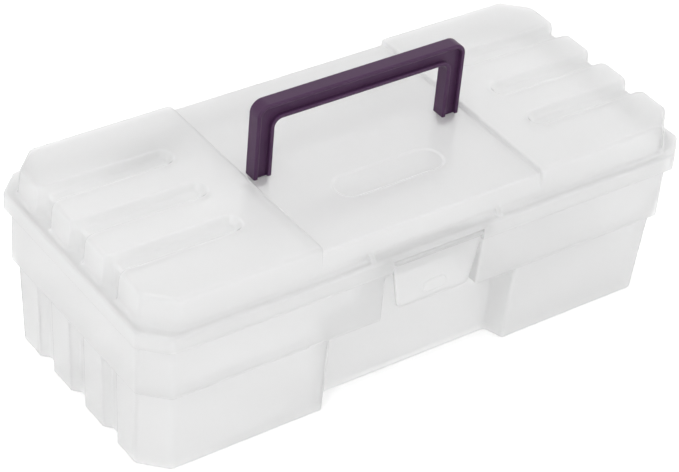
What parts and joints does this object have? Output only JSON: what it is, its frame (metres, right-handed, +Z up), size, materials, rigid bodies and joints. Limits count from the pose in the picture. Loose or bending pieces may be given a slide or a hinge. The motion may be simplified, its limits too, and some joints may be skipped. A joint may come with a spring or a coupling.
{
  "type": "art supply box",
  "caption": "Long low moulded carry box with a hinged fluted lid, a flat top handle and a swinging front latch over a finger bay, for storing and carrying art supplies.",
  "frame": {"origin": "under the middle of the box, on the surface that it stands on", "axes": "+X along the length towards the right end seen from the front, -Y out of the front with the latch, +Z up"},
  "size_m": [0.308, 0.14, 0.1356],
  "materials": {
    "frosted_plastic": "frosted, translucent",
    "handle_plastic": "satin",
    "pin_steel": "drawn wire"
  },
  "bodies": {
    "base": {"base_tub": "frosted_plastic", "hinge_pin_left": "pin_steel", "hinge_pin_right": "pin_steel"},
    "lid": {"lid_shell": "frosted_plastic", "carry_handle": "handle_plastic", "latch_pin": "pin_steel"},
    "latch": {"latch_flap": "frosted_plastic"}
  },
  "joints": [
    {"name": "lid_hinge", "type": "hinge", "parent": "base", "child": "lid", "pos_m": [0, 0.0665, 0.0715], "axis": [-1, 0, 0], "range_deg": [0, 115]},
    {"name": "latch_hinge", "type": "hinge", "parent": "lid", "child": "latch", "pos_m": [0, -0.0678, 0.079], "axis": [-1, 0, 0], "range_deg": [0, 100]}
  ]
}
